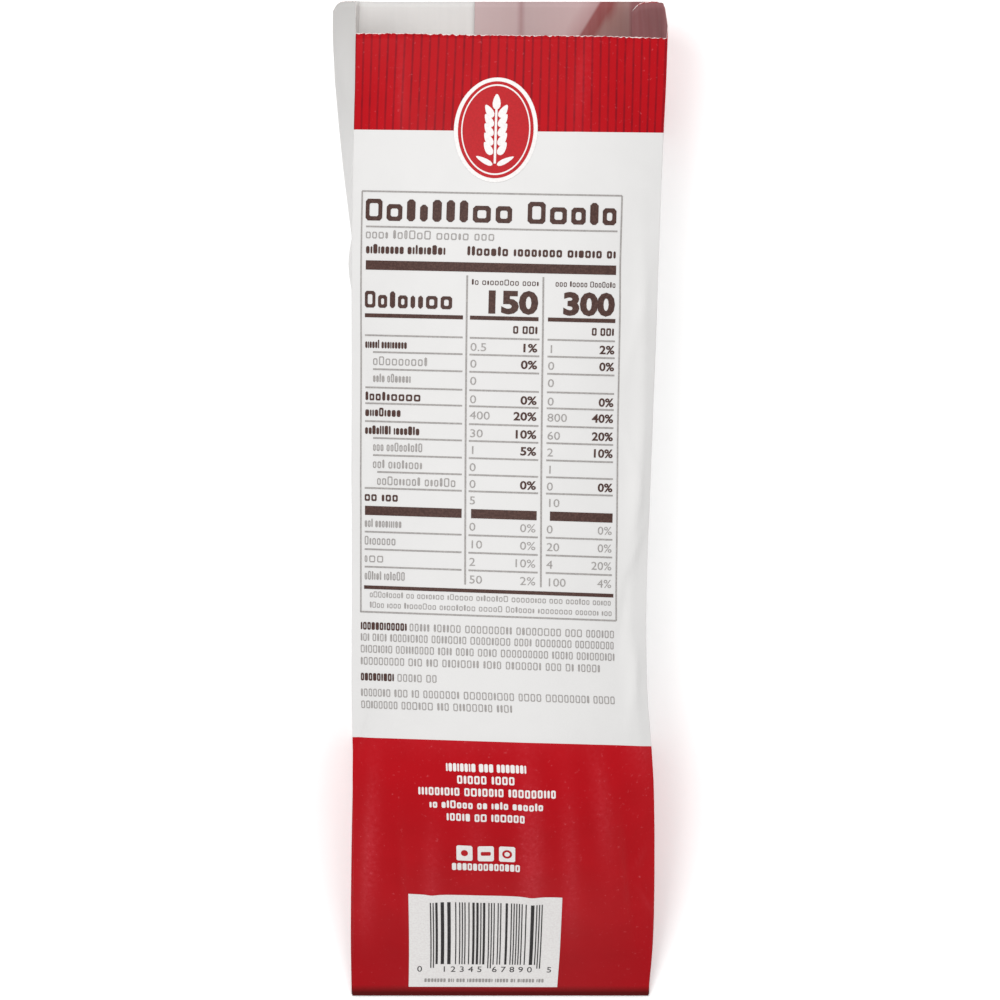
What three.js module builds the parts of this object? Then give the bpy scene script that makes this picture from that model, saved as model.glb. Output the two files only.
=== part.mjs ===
// A bagged baguette: a side-gusseted paper bag lying on its front panel, with the loaf inside.
// Millimetres, +Z up. The bag runs along Y with its mouth towards +Y. The origin is the middle
// of the base, on the surface that the bag lies on.
import * as THREE from "three";
import * as BufferGeometryUtils from "three/addons/utils/BufferGeometryUtils.js";

// Driving dimensions of the bag
const FACE_WIDTH = 80; // flat width of the back and front panels
const LEAF_WIDTH = 18.5; // each half of a side gusset, from its crease to the panel
const SEAL_Y = -132; // the folded end
const LIP_Y = 132; // the front panel's cut edge
const CUT_Y = 118; // the back panel's cut edge, stepped back from the lip
const GUSSET_TOP_Y = 126; // the gussets' cut edge beside the back panel
const GUSSET_CREASE_Y = 129; // and at their crease
const FOLD_LENGTH = 12; // the sealed end is folded under by this much
const SHEET = 0.5; // stand-in thickness of the paper
const LAYER = SHEET + 0.35; // one sheet and the gap to the next one
const FOLD_RAMP = 8; // the front panel rises onto the folded end over this length
const RAMP_END = FOLD_LENGTH + 5; // the rise is over by this distance from the folded end
const FOLD_INSET = 0.5; // the folded-under strip is this much narrower on each side
const FOLD_MIDDLE_X = 0.1; // the middle of the sealed end, which lies a little to the right

// Driving dimensions of the loaf
const LOAF_LENGTH = 208;
const LOAF_WIDTH = 59.5;
const LOAF_HEIGHT = 44.5;
const LOAF_MIDDLE_Y = 1;
const LOAF_TAPER = 54; // length over which each end rounds off
const LOAF_FLAT = 0.16; // share of the full height that the flat oven base cuts away
const LOAF_BASE_Z = SHEET + 0.35;
const LOAF_TIP_LIFT = 3; // the underside curves up this much at the tips

// Cross-sections of the filled bag, from the folded end to the mouth. left and right are the
// back panel's edges as [x, z], crown is the height of its middle, base gives the front panel's
// edges as [left x, right x, z], and fold says how far each gusset's crease is drawn in:
// 1 fully in, -1 pushed out, for the [left, right] gusset.
const SECTIONS = [
  { y: -132, left: [-39.2, 3.65], right: [39.4, 3.65], crown: 3.7, base: [-39.4, 39.6, 1.1], fold: [1, 1] },
  { y: -117, left: [-38.6, 11], right: [40, 11], crown: 14, base: [-39.6, 39.8, 1.2], fold: [1, 1] },
  { y: -94, left: [-37.8, 24.5], right: [39.7, 24.5], crown: 32.5, base: [-39.4, 39.4, 1.5], fold: [1, 1] },
  { y: -72, left: [-37.4, 34], right: [39, 34], crown: 44.5, base: [-39, 39, 2], fold: [1, 1] },
  { y: -44, left: [-37.5, 36.2], right: [37, 36.2], crown: 47.6, base: [-38.9, 38.7, 2.2], fold: [1, 1] },
  { y: 0, left: [-37.5, 36.4], right: [37.8, 36.4], crown: 47.8, base: [-38.9, 38.7, 2.2], fold: [0.9, 1] },
  { y: 50, left: [-37.5, 36.4], right: [39.8, 35.8], crown: 47.4, base: [-38.7, 40, 2], fold: [0.3, 0.9] },
  { y: 92, left: [-37, 36], right: [41.4, 34.2], crown: 44.2, base: [-38, 41.8, 1.2], fold: [-0.6, 0.9] },
  { y: 118, left: [-36.5, 35.5], right: [42.6, 33], crown: 39.5, base: [-37.6, 43, 0.7], fold: [-1, 0.95] },
  { y: 132, left: [-36.4, 35.3], right: [42.9, 32.6], crown: 38, base: [-37.4, 43.2, 0.5], fold: [-1, 0.95] },
];
const CROWN_POWER = 2.4; // how square the back panel's arch is
const CURL_START = 0.8; // the front panel is flat up to this share of its half width

const ROWS = 30; // steps along the bag
const PANEL_STEPS = 14; // steps across a panel
const LEAF_STEPS = 2; // steps across a gusset leaf
const LOAF_RINGS = 30;
const LOAF_SIDES = 32;

const paperWhite = new THREE.MeshStandardMaterial({ color: 0xe6e4e1, roughness: 0.7, metalness: 0 });
const paperRed = new THREE.MeshStandardMaterial({ color: 0xae1c27, roughness: 0.6, metalness: 0 });
const crust = new THREE.MeshStandardMaterial({ color: 0xb8752f, roughness: 0.8, metalness: 0 });

// A value of the sections at y, on a smooth curve through them.
function along(read, y) {
  const last = SECTIONS.length - 1;
  let i = 0;
  while (i < last - 1 && y > SECTIONS[i + 1].y) {
    i += 1;
  }
  const slope = (k) => {
    const a = Math.max(k - 1, 0);
    const b = Math.min(k + 1, last);
    return (read(SECTIONS[b]) - read(SECTIONS[a])) / (SECTIONS[b].y - SECTIONS[a].y);
  };
  const step = SECTIONS[i + 1].y - SECTIONS[i].y;
  const t = THREE.MathUtils.clamp((y - SECTIONS[i].y) / step, 0, 1);
  const start = read(SECTIONS[i]);
  const end = read(SECTIONS[i + 1]);
  const t2 = t * t;
  const t3 = t2 * t;
  return (
    (2 * t3 - 3 * t2 + 1) * start +
    (t3 - 2 * t2 + t) * step * slope(i) +
    (3 * t2 - 2 * t3) * end +
    (t3 - t2) * step * slope(i + 1)
  );
}

// The back panel's edge on a side: 0 left, 1 right.
function backEdge(side, y) {
  const name = side === 0 ? "left" : "right";
  return new THREE.Vector2(along((s) => s[name][0], y), along((s) => s[name][1], y));
}

// The front panel's edge on a side.
function frontEdge(side, y) {
  return new THREE.Vector2(along((s) => s.base[side], y), along((s) => s.base[2], y));
}

// The gusset's crease, one leaf away from both edges, drawn in or pushed out.
function crease(side, y) {
  const top = backEdge(side, y);
  const bottom = frontEdge(side, y);
  const half = top.distanceTo(bottom) / 2;
  const depth = Math.sqrt(Math.max(LEAF_WIDTH ** 2 - half ** 2, 0)) * along((s) => s.fold[side], y);
  const inward = side === 0 ? 1 : -1;
  return new THREE.Vector2((top.x + bottom.x) / 2 + inward * depth, (top.y + bottom.y) / 2);
}

// A point of the back panel, t from 0 at its left edge to 1 at its right edge.
function backPoint(t, y) {
  const a = backEdge(0, y);
  const b = backEdge(1, y);
  const edge = THREE.MathUtils.lerp(a.y, b.y, t);
  const rise = along((s) => s.crown, y) - (a.y + b.y) / 2;
  const arch = 1 - Math.abs(2 * t - 1) ** CROWN_POWER;
  return new THREE.Vector3(THREE.MathUtils.lerp(a.x, b.x, t), y, edge + rise * arch);
}

// The height of the front panel's flat middle, which rises onto the folded end.
function floorOfFront(y) {
  const top = -SEAL_Y - RAMP_END;
  const rise = THREE.MathUtils.smoothstep(-y, top - FOLD_RAMP, top);
  return SHEET / 2 + LAYER * rise;
}

// A point of the front panel: flat in the middle, with its edges curling up.
function frontPoint(t, y) {
  const a = frontEdge(0, y);
  const b = frontEdge(1, y);
  const across = Math.abs(2 * t - 1);
  const curl = Math.max(across - CURL_START, 0) / (1 - CURL_START);
  const low = floorOfFront(y);
  const high = Math.max((a.y + b.y) / 2, low);
  return new THREE.Vector3(THREE.MathUtils.lerp(a.x, b.x, t), y, low + (high - low) * curl ** 2);
}

// A point of a gusset leaf, t from 0 at the panel to 1 at the crease. Both ends keep one layer's
// room to the sheet that they meet.
function leafPoint(side, upper, t, y) {
  const fold = crease(side, y);
  const edge = upper ? backEdge(side, y) : frontEdge(side, y);
  const away = upper ? -1 : 1;
  const outer = edge.y + away * LAYER;
  const inner = fold.y - (away * LAYER) / 2;
  return new THREE.Vector3(THREE.MathUtils.lerp(edge.x, fold.x, t), y, THREE.MathUtils.lerp(outer, inner, t));
}

// A closed sheet of the paper's stand-in thickness about a grid of points. point(t, y) gives the
// middle surface and end(t) the y where it is cut.
const NUDGE = 0.001; // step over which a surface's direction is read
function sheet(point, steps, end) {
  const near = (s, t) => THREE.MathUtils.lerp(SEAL_Y, end(t), s);
  const faces = [[], []];
  for (let row = 0; row <= ROWS; row += 1) {
    for (let column = 0; column <= steps; column += 1) {
      const s = row / ROWS;
      const t = column / steps;
      const here = point(t, near(s, t));
      const t0 = Math.max(t - NUDGE, 0);
      const t1 = Math.min(t + NUDGE, 1);
      const across = point(t1, near(s, t)).sub(point(t0, near(s, t)));
      const onward = point(t, near(s, t) + NUDGE).sub(point(t, near(s, t) - NUDGE));
      const normal = across.cross(onward).normalize();
      faces[0].push(here.clone().addScaledVector(normal, SHEET / 2));
      faces[1].push(here.clone().addScaledVector(normal, -SHEET / 2));
    }
  }
  return closedGrid(faces, steps);
}

// Joins two grids of points, the outer and the inner face, into one closed body.
function closedGrid(faces, steps) {
  const width = steps + 1;
  const count = faces[0].length;
  const index = [];
  const quad = (a, b, c, d) => index.push(a, b, c, a, c, d);
  for (let row = 0; row < ROWS; row += 1) {
    for (let column = 0; column < steps; column += 1) {
      const a = row * width + column;
      quad(a, a + 1, a + 1 + width, a + width);
      quad(count + a, count + a + width, count + a + 1 + width, count + a + 1);
    }
  }
  for (let row = 0; row < ROWS; row += 1) {
    const left = row * width;
    const right = left + steps;
    quad(left, left + width, count + left + width, count + left);
    quad(right, count + right, count + right + width, right + width);
  }
  for (let column = 0; column < steps; column += 1) {
    const low = column;
    const high = ROWS * width + column;
    quad(low, count + low, count + low + 1, low + 1);
    quad(high, high + 1, count + high + 1, count + high);
  }
  const geometry = new THREE.BufferGeometry();
  const points = [...faces[0], ...faces[1]];
  geometry.setAttribute("position", new THREE.Float32BufferAttribute(points.flatMap((p) => p.toArray()), 3));
  geometry.setIndex(index);
  return outward(geometry);
}

// The same closed body with its faces pointing out.
function outward(geometry) {
  const place = geometry.getAttribute("position");
  const index = geometry.getIndex();
  const corner = (k) => new THREE.Vector3().fromBufferAttribute(place, index.getX(k));
  let volume = 0;
  for (let k = 0; k < index.count; k += 3) {
    volume += corner(k).dot(corner(k + 1).cross(corner(k + 2)));
  }
  if (volume < 0) {
    for (let k = 0; k < index.count; k += 3) {
      const swap = index.getX(k + 1);
      index.setX(k + 1, index.getX(k + 2));
      index.setX(k + 2, swap);
    }
  }
  return BufferGeometryUtils.mergeVertices(geometry);
}

// The loaf: rings of a rounded section with a flat oven base, tapering to blunt tips.
function loafGeometry() {
  const points = [];
  const index = [];
  const full = LOAF_HEIGHT / (1 - LOAF_FLAT);
  const base = -full * (0.5 - LOAF_FLAT);
  const half = LOAF_LENGTH / 2;
  for (let ring = 1; ring < LOAF_RINGS; ring += 1) {
    const y = -Math.cos((Math.PI * ring) / LOAF_RINGS) * half;
    const into = Math.max(Math.abs(y) - (half - LOAF_TAPER), 0) / LOAF_TAPER;
    const size = Math.sqrt(1 - into ** 2);
    const lift = LOAF_TIP_LIFT * into ** 2;
    for (let side = 0; side < LOAF_SIDES; side += 1) {
      const angle = (2 * Math.PI * side) / LOAF_SIDES;
      const x = (LOAF_WIDTH / 2) * Math.cos(angle);
      const z = Math.max((full / 2) * Math.sin(angle), base);
      points.push(x * size, y + LOAF_MIDDLE_Y, LOAF_BASE_Z + lift + (z - base) * size);
    }
  }
  const tips = points.length / 3;
  const tipHeight = LOAF_BASE_Z + LOAF_TIP_LIFT;
  points.push(0, LOAF_MIDDLE_Y - half, tipHeight, 0, LOAF_MIDDLE_Y + half, tipHeight);
  const rings = LOAF_RINGS - 1;
  for (let side = 0; side < LOAF_SIDES; side += 1) {
    const next = (side + 1) % LOAF_SIDES;
    for (let ring = 0; ring < rings - 1; ring += 1) {
      const a = ring * LOAF_SIDES;
      const b = a + LOAF_SIDES;
      index.push(a + side, a + next, b + next, a + side, b + next, b + side);
    }
    const end = (rings - 1) * LOAF_SIDES;
    index.push(tips, next, side, tips + 1, end + side, end + next);
  }
  const geometry = new THREE.BufferGeometry();
  geometry.setAttribute("position", new THREE.Float32BufferAttribute(points, 3));
  geometry.setIndex(index);
  return outward(geometry);
}

const group = new THREE.Group();

function add(name, geometry, material) {
  const mesh = new THREE.Mesh(geometry, material);
  mesh.name = name;
  group.add(mesh);
  return mesh;
}

add("back_panel", sheet(backPoint, PANEL_STEPS, () => CUT_Y), paperWhite);
add("front_panel", sheet(frontPoint, PANEL_STEPS, () => LIP_Y), paperRed);
for (const [side, word] of [[0, "left"], [1, "right"]]) {
  const upper = (t, y) => leafPoint(side, true, t, y);
  const lower = (t, y) => leafPoint(side, false, t, y);
  const upperEnd = (t) => THREE.MathUtils.lerp(GUSSET_TOP_Y, GUSSET_CREASE_Y, t);
  const lowerEnd = (t) => THREE.MathUtils.lerp(LIP_Y, GUSSET_CREASE_Y, t);
  add(`${word}_gusset_back_leaf`, sheet(upper, LEAF_STEPS, upperEnd), paperWhite);
  add(`${word}_gusset_front_leaf`, sheet(lower, LEAF_STEPS, lowerEnd), paperWhite);
}

const foldWidth = FACE_WIDTH - 2 * FOLD_INSET;
const fold = add("bottom_fold", new THREE.BoxGeometry(foldWidth, FOLD_LENGTH, SHEET), paperRed);
fold.position.set(FOLD_MIDDLE_X, SEAL_Y + FOLD_LENGTH / 2, SHEET / 2);

add("baguette", loafGeometry(), crust);

export default group;
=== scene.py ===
"""A small baguette in a printed, side-gusseted paper bag that lies on its front panel.

The bag is one web of paper: a strip that runs round the tube and laps over itself on the front
panel. Its shape is worked out in millimetres from a few cross-sections, and the print is laid on
the back panel afterwards by its flat position on the paper.
"""
import math
import random

import bmesh
import bpy
import numpy as np
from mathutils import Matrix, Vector, noise


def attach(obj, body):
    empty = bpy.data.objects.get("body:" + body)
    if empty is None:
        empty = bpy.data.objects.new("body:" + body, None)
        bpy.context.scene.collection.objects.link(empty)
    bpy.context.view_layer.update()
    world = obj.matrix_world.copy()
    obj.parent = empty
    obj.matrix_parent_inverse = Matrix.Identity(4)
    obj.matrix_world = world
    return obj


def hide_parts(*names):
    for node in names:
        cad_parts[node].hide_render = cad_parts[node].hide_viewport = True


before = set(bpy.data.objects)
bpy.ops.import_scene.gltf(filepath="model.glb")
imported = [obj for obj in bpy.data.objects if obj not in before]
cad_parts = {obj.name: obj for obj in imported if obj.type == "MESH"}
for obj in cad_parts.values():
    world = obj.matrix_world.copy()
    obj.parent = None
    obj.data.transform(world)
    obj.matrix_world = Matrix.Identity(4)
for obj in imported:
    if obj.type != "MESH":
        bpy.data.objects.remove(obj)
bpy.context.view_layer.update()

MM = 0.001

# ---------------------------------------------------------------------------------------------
# The paper bag's sizes, in millimetres
# ---------------------------------------------------------------------------------------------
FACE = 80.0  # flat width of the back and front panels
LEAF = 18.5  # each half of a side gusset
SEAL_Y = -132.0  # the folded end
CUT_Y = 118.0  # the back panel's serrated cut
LIP_Y = 132.0  # the front panel's cut
GUSSET_TOP_Y = 126.0  # the gussets' cut beside the back panel
GUSSET_CREASE_Y = 129.0  # and at their crease
FOLD = 12.0  # the sealed end is folded under by this much
PAPER = 0.12  # thickness of the paper
LAYER = 0.17  # pitch of the layers where the bag is pressed flat
FOLD_INSIDE = 0.12  # radius inside the fold at the sealed end
FOLD_Z = FOLD_INSIDE + 3 * LAYER  # height of the fold's centre
SEALED_Z = FOLD_Z + FOLD_INSIDE  # height of the front panel at the seal
LAP_EDGE = 0.381  # where the lap's inner edge shows, as a share of the front panel's width
LAP_WIDTH = 12.0 / FACE  # the glued lap, as the same share
LAP_RISE = 0.04  # over this share it rises onto the layer that it is glued to
UNDER = FACE * (1 - LAP_EDGE + LAP_WIDTH)  # width of the front panel's layer under the lap

# Cross-sections from the sealed end to the mouth: the back panel's left and right edges as
# (x, z), the height of its crown, the front panel's edges as (left x, right x, z), and how far
# the left and right gusset creases are drawn in, from 1 fully in to -1 pushed out.
TOP = SEALED_Z + 3 * LAYER
SECTIONS = [
    (-132, (-39.2, TOP), (39.4, TOP), TOP, (-39.4, 39.6, SEALED_Z), (1, 1)),
    (-117, (-38.6, 10.2), (40, 10.2), 13.4, (-39.6, 39.8, 1.1), (1, 1)),
    (-94, (-37.8, 24.5), (39.7, 24.5), 32.5, (-39.4, 39.4, 1.5), (1, 1)),
    (-72, (-37.4, 34), (39, 34), 44.5, (-39, 39, 2), (1, 1)),
    (-44, (-37.5, 36.2), (37, 36.2), 47.6, (-38.9, 38.7, 2.2), (1, 1)),
    (0, (-37.5, 36.4), (37.8, 36.4), 47.8, (-38.9, 38.7, 2.2), (0.9, 1)),
    (50, (-37.5, 36.4), (39.8, 35.8), 47.4, (-38.7, 40, 2), (0.3, 0.9)),
    (92, (-37, 36), (41.4, 34.2), 44.2, (-38, 41.8, 1.2), (-0.6, 0.9)),
    (118, (-36.5, 35.5), (42.6, 33), 39.5, (-37.6, 43, 0.7), (-1, 0.95)),
    (132, (-36.4, 35.3), (42.9, 32.6), 38, (-37.4, 43.2, 0.5), (-1, 0.95)),
]
CROWN_POWER = 2.4  # how square the back panel's arch is
CURL_START = 0.8  # the front panel is flat up to this share of its half width

MAIN_ROWS = 150
TURN_ROWS = 7
FLAP_ROWS = 5
PANEL_STEP = 0.82  # spacing of the web's columns on the back panel
WEB_STEP = 1.15  # and elsewhere
CREASE = 0.22  # half the width of a sharp crease
TOOTH = 0.18  # depth of the serrated cut's teeth
CUT_DIP = [(0.0, 0.2), (0.35, 1.3), (0.55, 1.5), (1.0, 1.1)]  # how the cut wanders down, by share
GUSSET_CORNER = 2.6  # the gussets' corners at their creases are rounded off by this much
GUSSET_CORNER_POWER = 6
LIP_CORNER = 2.4  # and the lip's right corner by this much
EAR_CORNER = 6.0  # and the right gusset's, beside the back panel, by this much
CORNER_REACH = 3.4  # both of them over this width, on a curve of this power
CORNER_POWER = 2.5


def along(read, y):
    """A value of the sections at every y, on a smooth curve through them."""
    place = np.array([s[0] for s in SECTIONS], float)
    value = np.array([read(s) for s in SECTIONS], float)
    slope = np.empty_like(value)
    slope[1:-1] = (value[2:] - value[:-2]) / (place[2:] - place[:-2])
    slope[0] = (value[1] - value[0]) / (place[1] - place[0])
    slope[-1] = (value[-1] - value[-2]) / (place[-1] - place[-2])
    i = np.clip(np.searchsorted(place, y, side="right") - 1, 0, len(place) - 2)
    step = place[i + 1] - place[i]
    t = np.clip((y - place[i]) / step, 0, 1)
    t2 = t * t
    t3 = t2 * t
    return (
        (2 * t3 - 3 * t2 + 1) * value[i]
        + (t3 - 2 * t2 + t) * step * slope[i]
        + (3 * t2 - 2 * t3) * value[i + 1]
        + (t3 - t2) * step * slope[i + 1]
    )


def smooth(a, b, x):
    """0 below a, 1 above b, and a soft step between them."""
    t = np.clip((x - a) / (b - a), 0, 1)
    return t * t * (3 - 2 * t)


def mix(a, b, t):
    """From a to b by the share t."""
    return a + (b - a) * t


def back_edge(side, y):
    """x and z of the back panel's left edge, side 0, or right edge, side 1."""
    return along(lambda s: s[1 + side][0], y), along(lambda s: s[1 + side][1], y)


def front_edge(side, y):
    """And of the front panel's."""
    return along(lambda s: s[4][side], y), along(lambda s: s[4][2], y)


def gusset_crease(side, y):
    """The crease is one leaf away from the back panel's edge and from the front panel's."""
    top_x, top_z = back_edge(side, y)
    low_x, low_z = front_edge(side, y)
    half = np.hypot(top_x - low_x, top_z - low_z) / 2
    depth = np.sqrt(np.maximum(LEAF**2 - half**2, 0)) * along(lambda s: s[5][side], y)
    inward = 1 if side == 0 else -1
    return (top_x + low_x) / 2 + inward * depth, (top_z + low_z) / 2


def back_point(t, y):
    """A point of the back panel, t from 0 at its left edge to 1 at its right edge."""
    left_x, left_z = back_edge(0, y)
    right_x, right_z = back_edge(1, y)
    rise = along(lambda s: s[3], y) - (left_z + right_z) / 2
    arch = 1 - np.abs(2 * t - 1) ** CROWN_POWER
    return mix(left_x, right_x, t), mix(left_z, right_z, t) + rise * arch


def front_floor(y):
    """Height of the front panel's flat middle, which rises onto the folded end."""
    return mix(0.0, SEALED_Z, smooth(107, 117, -y))


def front_point(t, y, lapped=0.0):
    """A point of the front panel. lapped lifts it onto the layer that it is glued to."""
    left_x, left_z = front_edge(0, y)
    right_x, right_z = front_edge(1, y)
    curl = np.clip((np.abs(2 * t - 1) - CURL_START) / (1 - CURL_START), 0, 1)
    low = front_floor(y)
    high = np.maximum(mix(left_z, right_z, t), low)
    return mix(left_x, right_x, t), low + (high - low) * curl**2 + lapped


def leaf_point(side, upper, t, y):
    """A point of a gusset leaf, t from 0 at the panel to 1 at the crease. It turns under the
    panel's edge by a layer and a half at once, so that the two have room to lie together."""
    edge_x, edge_z = back_edge(side, y) if upper else front_edge(side, y)
    fold_x, fold_z = gusset_crease(side, y)
    turned = 1.5 * LAYER * min(t * LEAF / CREASE, 1.0) * (-1 if upper else 1)
    return mix(edge_x, fold_x, t), mix(edge_z + turned, fold_z, t)


def spread(length, step, first=True, last=True):
    """Places from 0 to 1 along a stretch of paper, closer together at a crease at either end."""
    near = CREASE / length
    inner = np.linspace(near if first else 0, 1 - near if last else 1, max(int(length / step), 2))
    ends = ([0.0] if first else []), ([1.0] if last else [])
    return np.concatenate([ends[0], inner, ends[1]])


def back_shares(y, flat_shares):
    """Shares of the arch's width, for each y and each share of the paper's length across it."""
    fine = np.linspace(0, 1, 401)
    out = np.empty((len(y), len(flat_shares)))
    for r, place in enumerate(y):
        x, z = back_point(fine, np.full_like(fine, place))
        run = np.concatenate([[0], np.cumsum(np.hypot(np.diff(x), np.diff(z)))])
        out[r] = np.interp(flat_shares, run / run[-1], fine)
    return out


def web_columns():
    """The strip's columns, in order round the tube: the part, the share across it from its first
    edge, the flat u in millimetres to the right of the back panel's left edge, and the cut y."""
    columns = []

    def stretch(part, shares, start_u, end_u, start_cut, end_cut):
        for t in shares:
            u = mix(start_u, end_u, t)
            if not columns or abs(columns[-1][2] - u) > CREASE / 2:
                columns.append((part, t, u, mix(start_cut, end_cut, t)))

    inner = FACE * LAP_EDGE
    right = FACE + 2 * LEAF
    leaf = spread(LEAF, WEB_STEP)
    stretch("under", spread(UNDER, WEB_STEP, first=False), right + UNDER, right, LIP_Y, LIP_Y)
    stretch("right_low", leaf, right, FACE + LEAF, LIP_Y, GUSSET_CREASE_Y)
    stretch("right_up", leaf, FACE + LEAF, FACE, GUSSET_CREASE_Y, GUSSET_TOP_Y)
    stretch("back", spread(FACE, PANEL_STEP), FACE, 0.0, CUT_Y, CUT_Y)
    stretch("left_up", leaf, 0.0, -LEAF, GUSSET_TOP_Y, GUSSET_CREASE_Y)
    stretch("left_low", leaf, -LEAF, -2 * LEAF, GUSSET_CREASE_Y, LIP_Y)
    stretch("lap", spread(inner, WEB_STEP, last=False), -2 * LEAF, -2 * LEAF - inner, LIP_Y, LIP_Y)
    return columns


def column_points(part, share, y):
    """x and z of one column of the web at every y. share is an array on the back panel."""
    if part == "under":
        return front_point(mix(LAP_EDGE - LAP_WIDTH, 1, share), y)
    if part == "lap":
        t = mix(0, LAP_EDGE, share)
        glued = LAP_EDGE - LAP_WIDTH
        lapped = LAYER * smooth(glued - LAP_RISE, glued, t)
        return front_point(t, y, lapped)
    if part == "back":
        return back_point(share, y)
    side = 0 if part.startswith("left") else 1
    towards_crease = part in ("right_low", "left_up")
    return leaf_point(side, part.endswith("up"), share if towards_crease else 1 - share, y)


def web_grid():
    """The web's outer face as rows of points from the folded flap to the cut, in millimetres, and
    the printed place (u, v) of each point with its distance from the paper's cut."""
    columns = web_columns()
    centre_y = SEAL_Y + FOLD_Z
    rows = FLAP_ROWS + TURN_ROWS + MAIN_ROWS + 1
    grid = np.zeros((rows, len(columns), 3))
    first = FLAP_ROWS + TURN_ROWS
    along_bag = np.linspace(0, 1, MAIN_ROWS + 1)
    on_back = [j for j, c in enumerate(columns) if c[0] == "back"]
    flat_shares = np.array([columns[j][2] for j in on_back]) / FACE
    shares = back_shares(mix(SEAL_Y, CUT_Y, along_bag), flat_shares)
    # the width of each part that has a rounded right corner, and whether it starts there
    from_corner = {"under": (UNDER, False), "right_low": (LEAF, True), "right_up": (LEAF, False)}
    for j, (part, share, _, cut) in enumerate(columns):
        if part in ("right_low", "right_up", "left_low", "left_up"):
            towards_crease = part in ("right_low", "left_up")
            to_crease = share if towards_crease else 1 - share
            cut -= GUSSET_CORNER * to_crease**GUSSET_CORNER_POWER
        if part in from_corner:
            width, starts_there = from_corner[part]
            reach = width * (share if starts_there else 1 - share)
            depth = EAR_CORNER if part == "right_up" else LIP_CORNER
            cut -= depth * max(1 - reach / CORNER_REACH, 0) ** CORNER_POWER
        if part == "back":
            cut -= np.interp(1 - share, [d[0] for d in CUT_DIP], [d[1] for d in CUT_DIP])
            share = shares[:, j - on_back[0]]
        y = mix(centre_y, cut, along_bag)
        x, z = column_points(part, share, mix(SEAL_Y, cut, along_bag))
        if part == "back":
            y[-1] -= TOOTH * random.Random(j).uniform(0.7, 1.3) * (j % 2)
        grid[first:, j] = np.stack([x, y, z], axis=1)
        radius = z[0] - FOLD_Z
        turn = np.pi * (1 - np.arange(TURN_ROWS) / TURN_ROWS)
        grid[FLAP_ROWS:first, j, 0] = x[0]
        grid[FLAP_ROWS:first, j, 1] = centre_y - radius * np.sin(turn)
        grid[FLAP_ROWS:first, j, 2] = FOLD_Z + radius * np.cos(turn)
        grid[:FLAP_ROWS, j, 0] = x[0]
        grid[:FLAP_ROWS, j, 1] = np.linspace(SEAL_Y + FOLD, centre_y, FLAP_ROWS, endpoint=False)
        grid[:FLAP_ROWS, j, 2] = FOLD_Z - radius
    return columns, grid, printed_places(columns, grid, first)


# How far the printed rows run downhill to the right, as (y, slope), the tube being a little off
# square, and how much they bow towards the crown, per millimetre of height.
ROW_SLOPES = [
    (-132, 0), (-118, 0.012), (-62, 0.03), (-30, 0.036), (77, 0.018), (94, 0.01), (118, 0),
]
ROW_BOW = 1 / 700
BOW_LEVEL = 44.0  # the height at which they don't bow
BOW_FADE = 25.0  # and they bow less over this distance from the cut


def printed_places(columns, grid, first):
    """Each point's place (u, v) in the print: v is the paper's length down from the cut."""
    crown = np.linspace(SEAL_Y, LIP_Y, 400)
    height = along(lambda s: s[3], crown)
    run = np.concatenate([[0], np.cumsum(np.hypot(np.diff(crown), np.diff(height)))])
    length = np.interp(CUT_Y, crown, run) - run
    y = grid[..., 1].copy()
    slope = np.interp(y, [s[0] for s in ROW_SLOPES], [s[1] for s in ROW_SLOPES])
    bow = ROW_BOW * (grid[..., 2] - BOW_LEVEL) * smooth(CUT_Y, CUT_Y - BOW_FADE, y)
    place = y * (1 + bow) + slope * grid[..., 0]
    flat = np.zeros(grid.shape[:2] + (3,))
    flat[..., 0] = np.array([c[2] for c in columns])
    flat[..., 1] = np.interp(place, crown, length)
    flat[:first, :, 1] = length[0] + np.arange(first, 0, -1)[:, None] * FOLD / first
    flat[..., 2] = y[-1] - y
    return flat


def unit(vectors):
    """A grid of vectors, each made one long."""
    return vectors / np.maximum(np.linalg.norm(vectors, axis=2, keepdims=True), 1e-9)


def outward(grid):
    """Unit normals of a grid of points, out of the bag."""
    return unit(np.cross(np.gradient(grid, axis=0), np.gradient(grid, axis=1)))


# ---------------------------------------------------------------------------------------------
# Wrinkles
# ---------------------------------------------------------------------------------------------
# Each crease is (u, y, heading in degrees, length, width, height), in millimetres. Heading 0 runs
# across the panel and 90 along the bag.
CREASES = [
    (5, -92, 86, 44, 3.2, 0.7),
    (13, -99, 91, 40, 2.8, -0.5),
    (21.5, -100, 88, 34, 3.2, 0.5),
    (33, -84, 93, 26, 4.0, 0.3),
    (47, -92, 92, 46, 4.2, 0.8),
    (57, -94, 93, 40, 3.0, 0.5),
    (65, -78, 96, 30, 3.4, 0.5),
    (73, -98, 97, 34, 2.6, -0.6),
    (77.5, -104, 120, 8, 0.8, 0.35),
    (75.5, -92, 60, 7, 0.8, 0.3),
    (75.4, 2, 87, 38, 4.6, 2.0),
    (74.0, 8, 104, 16, 1.6, 0.6),
    (76, -12, 68, 14, 1.2, 0.6),
    (73, -26, 82, 22, 1.6, -0.5),
    (75.6, 42, 92, 44, 4.8, 1.2),
    (74, 44, 78, 26, 2.6, 0.4),
    (3, -58, 70, 18, 1.8, -0.6),
    (5, 24, 96, 34, 2.4, -0.35),
    (75.4, -46, 93, 34, 4.6, 1.4),
    (75, -48, 80, 24, 2.4, 0.5),
    (30, 108, 96, 20, 2.6, -0.3),
    (58, 104, 84, 24, 3.0, 0.35),
    (69, 111, 80, 14, 2.0, -0.3),
    (12, 105, 92, 22, 2.4, 0.28),
    (40, -60, 2, 60, 5.0, 0.25),
]
SWELL = 0.28  # soft unevenness of the whole sheet
SWELL_SIZE = 46.0
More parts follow.
